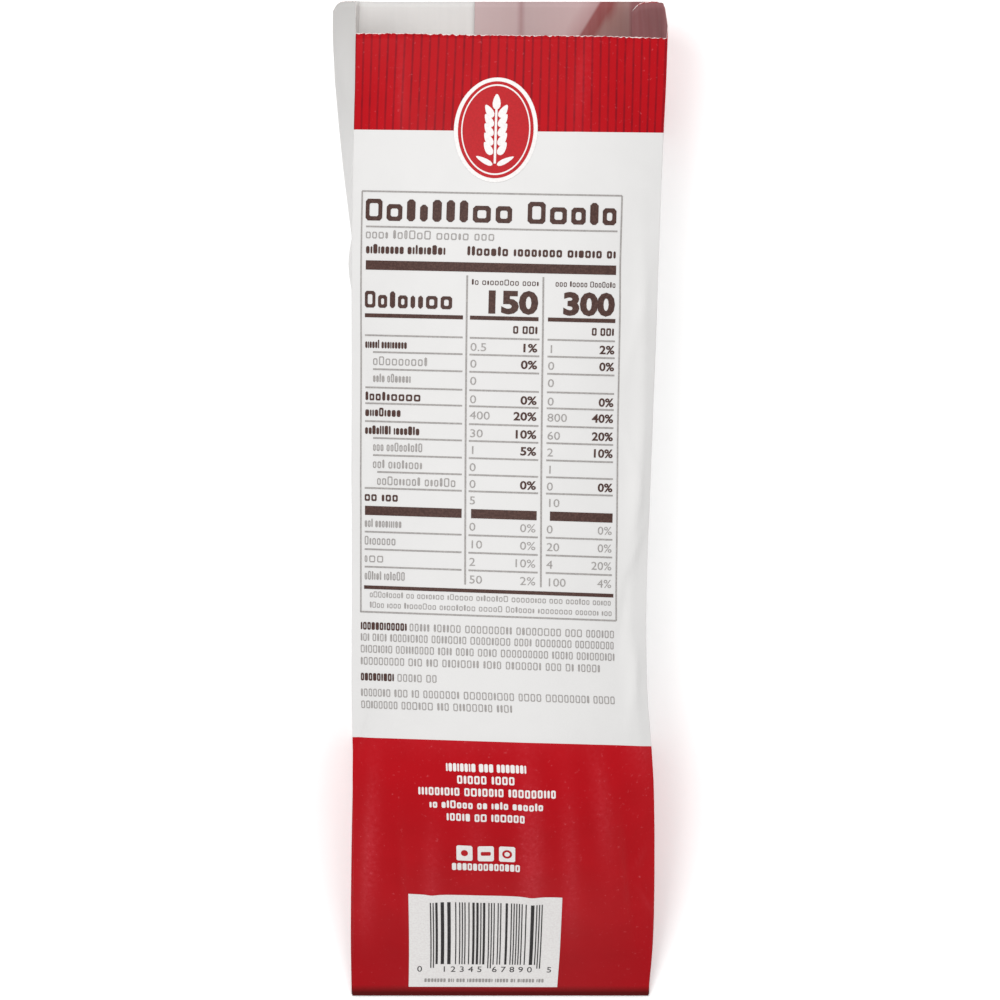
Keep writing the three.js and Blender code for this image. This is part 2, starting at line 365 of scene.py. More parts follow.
RIPPLE = 0.055  # the finer cockle of handled paper
RIPPLE_SIZE = 11.0
FLUTES = [(1.1, 58.0, 1), (0.55, 23.78, 2)]  # waves along a gusset leaf: height, length, shift
SETTLED = (2.0, 22.0)  # pressed flat this near the sealed end, and free to wrinkle from there
GUSSET_SETTLED = (6.0, 46.0)  # and the same for the gussets
CREST = 0.7  # half the width of a crease's crest, where painted highlight and rub wear go, as a share of its width


def wrinkle(grid, flat):
    """How far each point of the web moves out, in millimetres, and how much painted highlight and
    rub wear it takes on the crest of a crease, from 0 to 1."""
    y = grid[..., 1]
    u = flat[..., 0]
    out, rubbed = np.zeros((2,) + u.shape)
    on_back = smooth(-1.0, 1.0, u) * smooth(-1.0, 1.0, FACE - u)
    for cu, cy, heading, length, width, height in CREASES:
        c, s = math.cos(math.radians(heading)), math.sin(math.radians(heading))
        run = (u - cu) * c + (y - cy) * s
        off = -(u - cu) * s + (y - cy) * c
        crest = np.exp(-((run / (length / 2)) ** 2)) * on_back
        out += height * crest / (1 + (off / (width / 2)) ** 2)
        rubbed += max(height, 0) * crest * np.exp(-((off / (width * CREST)) ** 2))
    for r, j in np.ndindex(out.shape):
        place = Vector((u[r, j], y[r, j], 0.0))
        out[r, j] += SWELL * noise.noise(place / SWELL_SIZE)
        out[r, j] += RIPPLE * noise.noise(place / RIPPLE_SIZE + Vector((7.0, 3.0, 1.0)))
    leaf = np.minimum(np.abs(u - (FACE + LEAF)), np.abs(u + LEAF)) / LEAF
    on_leaf = np.clip(1 - leaf, 0, 1) * np.clip(leaf, 0, 1) * 4
    side = np.where(u > FACE / 2, 1.0, 2.2)
    for height, length, shift in FLUTES:
        out += height * on_leaf * np.sin(2 * np.pi * y / length + shift * side)
    settled = smooth(*SETTLED, y - SEAL_Y)
    under = (u > FACE + 2 * LEAF) | (u < -2 * LEAF)
    in_gusset = ((u < 0) | (u > FACE)) & ~under
    pinched = smooth(0.0, 0.4, 1 - leaf) * smooth(*GUSSET_SETTLED, y - SEAL_Y)
    out *= settled * np.where(under, 0.0, np.where(in_gusset, pinched, 1.0))
    out[: FLAP_ROWS + TURN_ROWS] = 0
    return out, np.clip(rubbed * settled, 0, 1)


# ---------------------------------------------------------------------------------------------
# Meshes
# ---------------------------------------------------------------------------------------------
def new_object(name, points, faces, slots=None, smooth_faces=True):
    """A mesh object at the origin from points in millimetres."""
    mesh = bpy.data.meshes.new(name)
    mesh.from_pydata((np.asarray(points, float) * MM).tolist(), [], faces)
    if slots is not None:
        mesh.polygons.foreach_set("material_index", slots)
    mesh.polygons.foreach_set("use_smooth", [smooth_faces] * len(mesh.polygons))
    mesh.update()
    piece = bpy.data.objects.new(name, mesh)
    bpy.context.scene.collection.objects.link(piece)
    return piece


def quads(rows, count):
    """The faces of a grid of points that is stored row by row."""
    starts = (r * count + j for r in range(rows - 1) for j in range(count - 1))
    return [(a, a + count, a + count + 1, a + 1) for a in starts]


def tube(rows, sides):
    """The faces of a stack of closed rings of points."""
    starts = ((r * sides, s, (s + 1) % sides) for r in range(rows - 1) for s in range(sides))
    return [(a + s, a + t, a + t + sides, a + s + sides) for a, s, t in starts]


def store(mesh, name, values):
    """Stores a number or a vector for each point of a mesh, for a material or a tree to read."""
    kind, field = ("FLOAT_VECTOR", "vector") if values.ndim > 1 else ("FLOAT", "value")
    data = mesh.attributes.new(name, kind, "POINT").data
    data.foreach_set(field, values.ravel().astype(np.float32))


def store_uv(mesh, name, uv):
    """Stores a UV map that is given point by point."""
    corner = np.zeros(len(mesh.loops), np.int32)
    mesh.loops.foreach_get("vertex_index", corner)
    layer = mesh.uv_layers.new(name=name)
    layer.data.foreach_set("uv", uv[corner].ravel().astype(np.float32))


def build_bag(grid, flat, rubbed):
    """The web as a closed sheet: its outer face, its inner face and the cut edges round it."""
    rows, count = grid.shape[:2]
    inner = grid - outward(grid) * PAPER
    half = rows * count
    last = half - count
    faces = []
    for face in quads(rows, count):
        faces += [face, tuple(half + i for i in face[:1] + face[:0:-1])]
    slots = [0, 1] * (len(faces) // 2)
    rim = [(j, j + 1) for j in range(count - 1)]
    rim += [(a - 1, a + count - 1) for a in range(count, half, count)]
    rim += [(last + j + 1, last + j) for j in range(count - 1)]
    rim += [(a, a - count) for a in range(count, half, count)]
    faces += [(a, b, half + b, half + a) for a, b in rim]
    slots += [2] * len(rim)
    points = np.concatenate([grid.reshape(-1, 3), inner.reshape(-1, 3)])
    bag = new_object("paper_bag", points, faces, slots)
    both = np.tile(flat.reshape(-1, 3), (2, 1))
    store(bag.data, "flat", both)
    store(bag.data, "rubbed", np.tile(rubbed.ravel(), 2))
    store_uv(bag.data, "OFBake", texture_places(both, half))
    return bag


WEB_LEFT = -2 * LEAF - FACE * LAP_EDGE  # the flat u of the web's left edge
WEB_WIDTH = 2 * FACE + 4 * LEAF + FACE * LAP_WIDTH
WEB_TOP = -16.0
WEB_LENGTH = 298.0
OUTER_SHARE = 0.86  # of the texture's width for the printed face, and the rest for the plain one
INNER_START, INNER_WIDTH = OUTER_SHARE + 0.005, 0.99 - OUTER_SHARE


def texture_places(flat, half):
    """Where each point lies in the texture's UV map: the printed face large, the plain face,
    which is the second half of the points, small."""
    across = (flat[:, 0] - WEB_LEFT) / WEB_WIDTH
    down = 1 - (flat[:, 1] - WEB_TOP) / WEB_LENGTH
    inside = INNER_START + across * INNER_WIDTH
    return np.stack([np.where(np.arange(len(flat)) < half, across * OUTER_SHARE, inside), down], 1)


# ---------------------------------------------------------------------------------------------
# The loaf
# ---------------------------------------------------------------------------------------------
LOAF_LENGTH = 207.2
LOAF_WIDTH = 58.7
LOAF_HEIGHT = 43.9
LOAF_MIDDLE_Y = 1.0
LOAF_TAPER = 54.0  # each end rounds off over this length
LOAF_FLAT = 0.16  # share of the full height that the flat oven base cuts away
LOAF_BASE_Z = 0.95
LOAF_BASE_EDGE = 1.4  # the base rounds off over this much
LOAF_TIP_LIFT = 3.0
LOAF_RINGS = 240
LOAF_SIDES = 132
# Each baker's score is (middle y, middle x, half length, half width), slanting across the top.
SCORES = [(-62, -2, 33, 5.2), (-2, 1, 35, 6.0), (58, -1, 34, 5.4)]
SCORE_SLANT = 0.24  # sideways run of a score for each millimetre along the loaf
SCORE_DEPTH = 2.1
EAR_HEIGHT, EAR_WIDTH = 0.9, 1.3  # the raised lip along one side of a score
BLISTER_SIZE, BLISTER_HEIGHT = 2.6, 1.1
DOUGH_SIZE, DOUGH_HEIGHT = 17.0, 0.35  # soft unevenness of the whole loaf
CRUST_HEIGHT = 0.42  # blisters and unevenness together stay under this
TEAR_SIZE, TEAR_HEIGHT = (1.3, 4.5), 0.55  # torn crumb, drawn out along the loaf


def build_loaf():
    """A baton with a flat base, three opened scores and a blistered skin. The value "opened" is
    1 in a score's torn crumb, and "ear" is 1 on its raised lip."""
    full = LOAF_HEIGHT / (1 - LOAF_FLAT)
    base = -full * (0.5 - LOAF_FLAT)
    half = LOAF_LENGTH / 2
    ring = np.linspace(0, 1, LOAF_RINGS + 1)[1:-1, None]
    y = -np.cos(np.pi * ring) * half
    into = np.clip(np.abs(y) - (half - LOAF_TAPER), 0, None) / LOAF_TAPER
    size = np.sqrt(1 - into**2)
    angle = 2 * np.pi * np.arange(LOAF_SIDES)[None, :] / LOAF_SIDES
    x = LOAF_WIDTH / 2 * np.cos(angle) * size
    above = (full / 2 * np.sin(angle) - base) / LOAF_BASE_EDGE
    z = base + np.logaddexp(0, above) * LOAF_BASE_EDGE
    z = LOAF_BASE_Z + LOAF_TIP_LIFT * into**2 + (z - base) * size * LOAF_HEIGHT / (full / 2 - base)
    points = np.stack(np.broadcast_arrays(x, y + LOAF_MIDDLE_Y, z), axis=2)
    across = np.roll(points, -1, axis=1) - np.roll(points, 1, axis=1)
    out = unit(np.cross(np.gradient(points, axis=0), across))
    move, opened, ear = np.zeros((3,) + points.shape[:2])
    on_top = smooth(0.55, 0.75, (points[..., 2] - LOAF_BASE_Z) / LOAF_HEIGHT)
    for middle_y, middle_x, length, width in SCORES:
        run = (points[..., 1] - middle_y) / length
        off = points[..., 0] - middle_x - SCORE_SLANT * (points[..., 1] - middle_y)
        leaf = width * np.sqrt(np.clip(1 - run**2, 0, 1))
        share = off / np.maximum(leaf, 0.01)
        cut = smooth(1.0, 0.72, np.abs(share)) * (np.abs(run) < 1) * on_top
        lip = np.exp(-(((off - leaf) / EAR_WIDTH) ** 2)) * smooth(1.0, 0.6, np.abs(run)) * on_top
        move += -SCORE_DEPTH * cut * (0.65 + 0.35 * share) + EAR_HEIGHT * lip * (1 - cut)
        opened = np.maximum(opened, cut)
        ear = np.maximum(ear, lip * (1 - cut))
    for r, j in np.ndindex(move.shape):
        place = Vector(points[r, j])
        blister = max(noise.noise(place / BLISTER_SIZE), 0.0) ** 2 * BLISTER_HEIGHT
        swell = noise.noise(place / DOUGH_SIZE) * DOUGH_HEIGHT
        crumb = noise.noise(Vector((place.x / TEAR_SIZE[0], place.y / TEAR_SIZE[1], 0.0)))
        crust = min(blister + swell, CRUST_HEIGHT)
        move[r, j] += crust * (1 - opened[r, j]) + crumb * TEAR_HEIGHT * opened[r, j]
    points = points + out * move[..., None]
    points[..., 2] = np.maximum(points[..., 2], LOAF_BASE_Z)
    rings = len(points)
    tips = [(0, LOAF_MIDDLE_Y + end * half, LOAF_BASE_Z + LOAF_TIP_LIFT) for end in (-1, 1)]
    tip = rings * LOAF_SIDES
    end = tip - LOAF_SIDES
    faces = tube(rings, LOAF_SIDES)
    for j in range(LOAF_SIDES):
        after = (j + 1) % LOAF_SIDES
        faces += [(tip, after, j), (tip + 1, end + j, end + after)]
    loaf = new_object("loaf", np.concatenate([points.reshape(-1, 3), tips]), faces)
    work = bmesh.new()
    work.from_mesh(loaf.data)
    bmesh.ops.recalc_face_normals(work, faces=work.faces)
    work.to_mesh(loaf.data)
    work.free()
    for name, value in (("opened", opened), ("ear", ear)):
        store(loaf.data, name, np.append(value.ravel(), [0, 0]))
    return loaf


# ---------------------------------------------------------------------------------------------
# The print: shapes in flat millimetres, u to the right and v down the back panel
# ---------------------------------------------------------------------------------------------
FILM = 0.02  # thickness of the ink film, drawn thicker than real ink so that it is a solid
PRINT_STEP = 0.55  # an ink shape is no longer than this between two points that bend
LOW, MIDDLE, HIGH, TOPMOST = 0.07, 0.11, 0.15, 0.19  # heights of ink on paper, and on more ink

prints = {name: {"points": [], "faces": []} for name in ("brown", "grey", "black", "white", "red")}


def film(ink, top, faces, rim):
    """Adds a closed film: its top points and faces, the same underneath, and a wall on the rim."""
    page = prints[ink]
    first = len(page["points"])
    count = len(top)
    page["points"] += top + [(u, v, lift - FILM) for u, v, lift in top]
    page["faces"] += [tuple(first + i for i in face) for face in faces]
    page["faces"] += [tuple(first + count + i for i in reversed(face)) for face in faces]
    for a, b in zip(rim, rim[1:] + rim[:1]):
        page["faces"].append((first + b, first + a, first + count + a, first + count + b))


def widen(u, v):
    """The lower rows of the label run a little wider than the upper ones."""
    return u * (1 + 0.028 * min(max((v - 60) / 90, 0), 1))


def patch(ink, u0, v0, u1, v1, lift=LOW, widened=False):
    """A rectangle of ink, divided so that it can follow the paper, and the label's widening."""
    across = max(math.ceil((u1 - u0) / PRINT_STEP), 1)
    down = max(math.ceil((v1 - v0) / PRINT_STEP), 1)
    top = []
    for j in range(down + 1):
        v = mix(v0, v1, j / down)
        row_u = [mix(u0, u1, i / across) for i in range(across + 1)]
        top += [(widen(u, v) if widened else u, v, lift) for u in row_u]
    row = across + 1
    rim = [j * row for j in range(down)] + [down * row + i for i in range(across)]
    rim += [j * row + across for j in range(down, 0, -1)] + list(range(across, 0, -1))
    film(ink, top, quads(down + 1, row), rim)


def shape(ink, outline, lift=LOW):
    """A small filled outline, given anticlockwise as seen on the page."""
    top = [(u, v, lift) for u, v in outline]
    film(ink, top, [tuple(range(len(top)))], list(range(len(top))))


def hoop(ink, outer, inner, lift=LOW):
    """A closed band of ink between two outlines with the same number of points."""
    page = prints[ink]
    first = len(page["points"])
    count = len(outer)
    for height in (lift, lift - FILM):
        page["points"] += [(u, v, height) for u, v in outer + inner]
    for s in range(count):
        a, b = first + s, first + (s + 1) % count
        c, d = a + 2 * count, b + 2 * count
        page["faces"] += [(a, b, b + count, a + count), (c + count, d + count, d, c)]
        page["faces"] += [(b, a, c, d), (a + count, b + count, d + count, c + count)]


def octagon(u0, v0, u1, v1, corner):
    """A rectangle with its corners cut, anticlockwise as seen on the page."""
    r = min(corner, (u1 - u0) / 2.2, (v1 - v0) / 2.2)
    return [
        (u0, v0 + r), (u0, v1 - r), (u0 + r, v1), (u1 - r, v1),
        (u1, v1 - r), (u1, v0 + r), (u1 - r, v0), (u0 + r, v0),
    ]


def block(ink, u0, v0, u1, v1, corner, lift=LOW, stroke=0.0):
    """A small rectangle with its corners cut, or only its outline, stroke wide."""
    outer = octagon(u0, v0, u1, v1, corner)
    if stroke == 0 or u1 - u0 < 2.6 * stroke:
        shape(ink, outer, lift)
        return
    inner = octagon(u0 + stroke, v0 + stroke, u1 - stroke, v1 - stroke, corner * 0.5)
    hoop(ink, outer, inner, lift)


def oval(ink, u, v, radius_u, radius_v, lift, inner=0.0, sides=72):
    """An ellipse of ink, or a ring where inner, a share of its radii, is above 0."""
    circle = [-2 * math.pi * s / sides for s in range(sides)]
    unit_circle = [(radius_u * math.cos(a), radius_v * math.sin(a)) for a in circle]

    def at(share):
        return [(u + share * x, v - share * y) for x, y in unit_circle]

    if inner:
        hoop(ink, at(1.0), at(inner), lift)
        return
    rings = max(math.ceil(radius_v / PRINT_STEP), 1)
    top = [(x, y, lift) for r in range(rings) for x, y in at(1 - r / rings)]
    middle = tuple(range((rings - 1) * sides, rings * sides))
    film(ink, top, [middle] + tube(rings, sides), list(range(sides)))


# A line of text is a row of plain boxes and bars: a pattern has T for a tall box, t for a tall
# bar, o for a low box, i for a low bar, and spaces. Their widths are shares of the text's height.
BOX_WIDTHS = {"T": 0.66, "t": 0.3, "o": 0.56, "i": 0.26}
BOX_MIX = "oooooootTiio"
LOW_BOX = 0.77  # height of a low box, as a share of the text's
GAP, BOLD_GAP = 0.2, 0.16
STROKE, BOLD_STROKE = 0.13, 0.2
SPACE, COUNTED_SPACE = 0.42, 0.4  # between words, as drawn and as counted to fill a line
SOLID_UNDER = 1.3  # text smaller than this is solid blocks, in millimetres
BOLD, CAPITALS, HEADING = {"bold"}, {"capitals"}, {"bold", "capitals"}


def words(ink, u0, u1, v_base, height, seed, style=(), pattern="", lift=LOW):
    """A line that stands in for text, from u0 to u1: outlined boxes and bars in words, either in
    a given pattern or drawn at random until the line is full."""
    draw = random.Random(seed)
    gap, stroke = (BOLD_GAP, BOLD_STROKE) if "bold" in style else (GAP, STROKE)
    if not pattern:
        wanted = (u1 - u0) / height
        run = 0.0
        while run < wanted - 1.0:
            word = "".join(draw.choice(BOX_MIX) for _ in range(draw.randint(2, 9)))
            pattern += (" " if pattern else "") + word
            run += COUNTED_SPACE + sum(BOX_WIDTHS[kind] + gap for kind in word)
    blocks = []
    place = 0.0
    for kind in pattern:
        if kind == " ":
            place += SPACE
            continue
        width = BOX_WIDTHS[kind] * draw.uniform(0.92, 1.08)
        blocks.append((place, place + width, kind))
        place += width + gap
    fit = (u1 - u0) / blocks[-1][1]
    stroke *= 0.0 if height < SOLID_UNDER else height
    for start, end, kind in blocks:
        tall = "capitals" in style or kind in "Tt"
        top = v_base - height * (1.0 if tall else LOW_BOX)
        block(ink, u0 + start * fit, top, u0 + end * fit, v_base, height * 0.12, lift, stroke)


FIGURE_HEIGHT = 0.73  # height of a figure in the built-in face, as a share of its size
FIGURE_WIDE = 1.18  # the label's figures are this much wider than that face's


def figures(ink, text, u, v_base, height, to_right=True, weight=0.0, lift=LOW):
    """Plain figures in the built-in face, ending at u, or starting there."""
    curve = bpy.data.curves.new("figures", "FONT")
    curve.body = text
    curve.size = height / FIGURE_HEIGHT
    curve.align_x = "RIGHT" if to_right else "LEFT"
    curve.offset = weight * height
    curve.extrude = FILM / 2
    curve.resolution_u = 3
    holder = bpy.data.objects.new("figures", curve)
    mesh = bpy.data.meshes.new_from_object(holder)
    page = prints[ink]
    first = len(page["points"])
    for x, y, z in (point.co for point in mesh.vertices):
        page["points"].append((u + x * FIGURE_WIDE, v_base - y, lift - FILM / 2 + z))
    page["faces"] += [tuple(first + i for i in face.vertices) for face in mesh.polygons]
    bpy.data.meshes.remove(mesh)
    bpy.data.objects.remove(holder)
    bpy.data.curves.remove(curve)


# A plain medallion: an ear of wheat in an oval.
BADGE = (36.6, 26.2)
BADGE_SIZE = (10.3, 13.3)
KERNEL_SIDES = 14


def kernel(u, v, length, width, lean):
    """A grain of wheat, pointed at its upper end, leaning over by an angle in degrees."""
    c, s = math.cos(math.radians(lean)), math.sin(math.radians(lean))
    outline = []
    for step in range(KERNEL_SIDES):
        angle = 2 * math.pi * step / KERNEL_SIDES
        up = -math.cos(angle) * length / 2
        side = math.sin(angle) * width / 2 * (1 - 0.35 * up / (length / 2))
        outline.append((u - side * c + up * s, v - side * s - up * c))
    shape("white", outline, TOPMOST)


def medallion():
    u, v = BADGE
    wide, high = BADGE_SIZE
    oval("white", u, v, wide, high, MIDDLE)
    oval("red", u, v, wide - 1.0, high - 1.0, HIGH)
    oval("white", u, v, wide - 1.8, high - 1.8, TOPMOST, inner=0.965)
    patch("white", u - 0.28, v - 5.2, u + 0.28, v + 8.6, TOPMOST)
    kernel(u, v - 7.0, 4.0, 1.9, 0)
    for side in (-1, 1):
        kernel(u + side * 2.6, v + 7.9, 4.6, 1.3, side * 62)
        for row in range(5):
            kernel(u + side * 1.75, v - 4.6 + 2.35 * row, 3.7, 1.75, side * 30)


FRAME = (2.9, 68.8, 42.3, 148.1)
HAIR = 0.42  # width of a hairline
LEFT_END, FIRST_START, FIRST_END, SECOND_START, SECOND_END = 29.8, 31.5, 48.1, 50.4, 67.6
# The table's rows: v of the middle, indent, width of the words, whether bold, and the amount and
# the share of the day's need in each of its two columns.
ROWS = [
    (80.8, 0, 11.7, True, "0.5", "1", "1", "2"),
    (85.0, 2.4, 14.6, False, "0", "0", "0", "0"),
    (89.3, 2.4, 10.4, False, "0", "", "0", ""),
    (93.9, 0, 15.4, True, "0", "0", "0", "0"),
    (97.9, 0, 10.2, True, "400", "20", "800", "40"),
    (102.4, 0, 15.2, True, "30", "10", "60", "20"),
    (106.6, 2.4, 13.6, False, "1", "5", "2", "10"),
    (110.9, 2.4, 13.6, False, "0", "", "1", ""),
    (115.1, 3.7, 20.8, False, "0", "0", "0", "0"),
    (119.2, 0, 9.6, True, "5", "", "10", ""),
    (125.8, 0, 10.6, False, "0", "0", "0", "0"),
    (130.2, 0, 9.0, False, "10", "0", "20", "0"),
    (134.6, 0, 5.5, False, "2", "10", "4", "20"),
    (139.0, 0, 11.6, False, "50", "2", "100", "4"),
]
MINERALS = 10  # the first row under the thick bars
# The other lines of text: ink, from u, to u, v of the base, height, seed, style and pattern.
LINES = [
    ("brown", 4.0, 41.2, 49.7, 5.5, 3, BOLD, "Totitttoo"),
    ("brown", 45.0, 67.4, 49.7, 5.5, 8, BOLD, "Tooto"),
    ("grey", 4.2, 37.0, 54.2, 2.2, 21),
    ("brown", 4.3, 25.2, 58.0, 2.4, 12, BOLD),
    ("brown", 30.6, 67.5, 58.0, 2.4, 16, BOLD),
    ("brown", 31.9, FIRST_END, 65.3, 1.45, 31),
    ("brown", 52.3, SECOND_END, 65.3, 1.45, 32),
    ("brown", 4.1, 27.2, 71.6, 4.2, 4, BOLD, "Totoiioo"),
    ("brown", 42.2, FIRST_END, 77.3, 1.9, 5, HEADING, "T TTi"),
    ("brown", 61.8, SECOND_END, 77.3, 1.9, 5, HEADING, "T TTi"),
    ("grey", 5.8, 69.0, 144.4, 1.5, 81),
    ("grey", 5.8, 69.3, 147.0, 1.5, 82),
    # two paragraphs under the table
    ("brown", 3.0, 16.4, 152.55, 1.9, 6, HEADING, "tTTTTTtTTTTt"),
    ("grey", 17.2, 70.0, 152.55, 1.9, 90, CAPITALS),
    ("grey", 3.0, 69.9, 155.35, 1.9, 91, CAPITALS),
    ("grey", 3.0, 70.1, 158.25, 1.9, 92, CAPITALS),
    ("grey", 3.0, 66.0, 161.25, 1.9, 93, CAPITALS),
    ("brown", 3.0, 12.8, 165.2, 1.9, 7, HEADING, "TTTTTtTTt"),
    ("grey", 13.8, 24.2, 165.2, 1.9, 97, CAPITALS),
    ("grey", 3.0, 69.8, 169.1, 1.9, 98, CAPITALS),
    ("grey", 3.0, 43.0, 172.1, 1.9, 99, CAPITALS),
    # five lines and a short one on the red base
    ("white", 25.9, 45.8, 187.25, 2.1, 110, HEADING),
    ("white", 28.6, 42.8, 190.35, 2.1, 111, HEADING),
    ("white", 18.6, 53.0, 193.55, 2.1, 112, HEADING),
    ("white", 21.4, 49.8, 196.95, 2.1, 113, BOLD),
    ("white", 25.7, 45.2, 200.45, 2.1, 114, HEADING),
    ("white", 26.8, 44.1, 214.9, 2.1, 9, HEADING, "TTTTTTTTTTTTT"),
]


def rule(ink, u0, u1, v, thick):
    patch(ink, widen(u0, v), v - thick / 2, widen(u1, v), v + thick / 2)


def table():
    """The label's frame, rules and rows."""
    left, right, top, bottom = FRAME
    rule("grey", left, right, top, HAIR)
    rule("grey", left - 0.2, right, bottom, HAIR)
    rule("grey", 4.2, 67.8, 51.2, HAIR)
    posts = [(left, top, bottom), (right, top, bottom), (30.7, 63.0, 140.4), (49.2, 63.0, 140.4)]
    for u, start, end in posts:
        patch("grey", u - HAIR / 2, start, u + HAIR / 2, end, widened=True)
    rule("brown", 4.3, 67.7, 60.9, 2.35)
    rule("brown", 3.9, 68.0, 141.9, 0.9)
    for u0, u1 in ((4.1, LEFT_END), (FIRST_START, FIRST_END), (SECOND_START, SECOND_END)):
        rule("brown", u0, u1, 73.55, 1.0)
        rule("brown", widen(u0, 122), u1, 122.6, 2.3)
    figures("brown", "150", 48.0, 72.1, 5.5, weight=0.062)
    figures("brown", "300", 67.5, 72.1, 5.5, weight=0.062)
    for number, (v, indent, width, bold, amount, share, amount_2, share_2) in enumerate(ROWS):
        if number != MINERALS:
            start = 4.1 + (indent if number != MINERALS - 1 else 0)
            rule("grey", start, LEFT_END, v - 2.25, HAIR)
            rule("grey", FIRST_START, FIRST_END + 0.3, v - 2.2, HAIR)
            rule("grey", SECOND_START, SECOND_END, v - 2.2, HAIR)
        ink, style = ("brown", BOLD) if bold else ("grey", ())
        u = 4.2 + indent
        words(ink, u, u + width, v + 1.0, 2.2, 60 + number, style)
        share_ink, weight = ("brown", 0.035) if number < MINERALS else ("grey", 0.0)
        figures("grey", amount, widen(31.6, v), v + 1.05, 2.1, to_right=False)
        figures("grey", amount_2, widen(50.5, v), v + 1.1, 2.1, to_right=False)
        for text, end in ((share, 47.9), (share_2, 67.5)):
            if text:
                figures(share_ink, text + "%", widen(end, v), v + 1.0, 2.1, weight=weight)


def contact_squares():
    """Three white squares with plain signs in them: a dot, a bar and a ring."""
    for u in (28.0, 33.4, 38.8):
        block("white", u, 207.5, u + 4.1, 212.0, 0.35)
    oval("red", 30.05, 209.75, 0.9, 0.9, MIDDLE, sides=24)
    block("red", 34.2, 209.2, 36.7, 210.3, 0.2, MIDDLE)
    oval("red", 40.85, 209.75, 1.25, 1.25, MIDDLE, inner=0.55, sides=24)


BARS = 30
BARS_START, BARS_END, BARS_TOP, BARS_BOTTOM = 20.9, 50.2, 224.9, 244.8
BAR_WIDTHS, GAP_WIDTHS = (1, 1, 1, 2, 2, 3), (1, 1, 2, 2, 3)
BAR_FIGURES_V, BAR_FIGURES_HEIGHT = 247.2, 1.8
BAR_FIGURES = [(18.8, "0"), (53.4, "5")]  # one beside each end of the bars
BAR_FIGURES += [(25.4 + 2.35 * n + (1.6 if n > 4 else 0), str((n + 1) % 10)) for n in range(10)]


def bar_code():
    """A white panel with bars of made-up widths, and plain figures in order under them."""
    patch("white", 15.2, 222.6, 55.2, 251.9)
    draw = random.Random(5)
    bars = []
    place = 0
    for number in range(BARS):
        guard = number < 2 or number >= BARS - 2 or number in (BARS // 2 - 1, BARS // 2)
        width = 1 if guard else draw.choice(BAR_WIDTHS)
        bars.append((place, place + width * 0.86, guard))
        place += width + (1 if guard else draw.choice(GAP_WIDTHS))
    fit = (BARS_END - BARS_START) / bars[-1][1]
    for start, end, guard in bars:
        bottom = BARS_BOTTOM + (1.2 if guard else 0)
        patch("black", BARS_START + start * fit, BARS_TOP, BARS_START + end * fit, bottom, MIDDLE)
    for u, text in BAR_FIGURES:
        figures("black", text, u, BAR_FIGURES_V, BAR_FIGURES_HEIGHT, lift=MIDDLE)
    words("grey", 19.4, 51.4, 250.4, 1.1, 131, CAPITALS, lift=MIDDLE)


PAGE_START = np.array([-1.0, -2.0])  # the page that the UV map covers, in flat millimetres
PAGE_SIZE = np.array([82.0, 262.0])


def paper_to_print_on(columns, grid, flat):
    """The back panel's outer face alone, with its printed places as a UV map."""
    on_back = [j for j, c in enumerate(columns) if c[0] == "back"]
    first = FLAP_ROWS + TURN_ROWS
    points = grid[first:, on_back]
    places = flat[first:, on_back, :2].reshape(-1, 2)
    sheet = new_object("sheet_to_print", points.reshape(-1, 3), quads(*points.shape[:2]))
    store_uv(sheet.data, "page", (places - PAGE_START) / PAGE_SIZE)
    return sheet


def laying_tree():
    """Geometry nodes that lay a flat page of ink on the paper, each point at its own height."""
    tree = bpy.data.node_groups.new("lay_ink_on_paper", "GeometryNodeTree")
    tree.is_modifier = True
    inputs = {"Geometry": "Geometry", "Paper": "Object", "Height": "Float", "Ink": "Material"}
    for name, kind in inputs.items():
        tree.interface.new_socket(name, in_out="INPUT", socket_type="NodeSocket" + kind)
    tree.interface.new_socket("Geometry", in_out="OUTPUT", socket_type="NodeSocketGeometry")
    given = add(tree, "NodeGroupInput").outputs
    paper = add(tree, "GeometryNodeObjectInfo", {}, Object=given["Paper"]).outputs["Geometry"]
    place = add(tree, "GeometryNodeInputPosition")
    scale = (1 / (PAGE_SIZE[0] * MM), -1 / (PAGE_SIZE[1] * MM), 0)
    shift = (-PAGE_START[0] / PAGE_SIZE[0], -PAGE_START[1] / PAGE_SIZE[1], 0)
    to_page = {"operation": "MULTIPLY_ADD", "_1": scale, "_2": shift}
    page = add(tree, "VectorMath", to_page, _0=place)
    named = {"data_type": "FLOAT_VECTOR", "Name": "page"}
    uv = add(tree, "GeometryNodeInputNamedAttribute", named)
    found = []
    for field in ("GeometryNodeInputPosition", "GeometryNodeInputNormal"):
        found.append(add(
            tree, "GeometryNodeSampleUVSurface", {"data_type": "FLOAT_VECTOR"},
            Mesh=paper, Value=add(tree, field), UV_Map=uv, Sample_UV=page,
        ))
    lift = add(tree, "SeparateXYZ", {}, Vector=place).outputs["Z"]
    height = add(tree, "Math", {"operation": "MULTIPLY"}, _0=lift, _1=given["Height"])
    risen = add(tree, "VectorMath", {"operation": "SCALE"}, _0=found[1], Scale=height)
    laid = add(tree, "VectorMath", {"operation": "ADD"}, _0=found[0], _1=risen)
    flat_page = given["Geometry"]
    moved = add(tree, "GeometryNodeSetPosition", {}, Geometry=flat_page, Position=laid)
    real = add(tree, "GeometryNodeRealizeInstances", {}, Geometry=moved)
    done = add(tree, "GeometryNodeSetMaterial", {}, Geometry=real, Material=given["Ink"])
    add(tree, "NodeGroupOutput", {}, _0=done)
    return tree


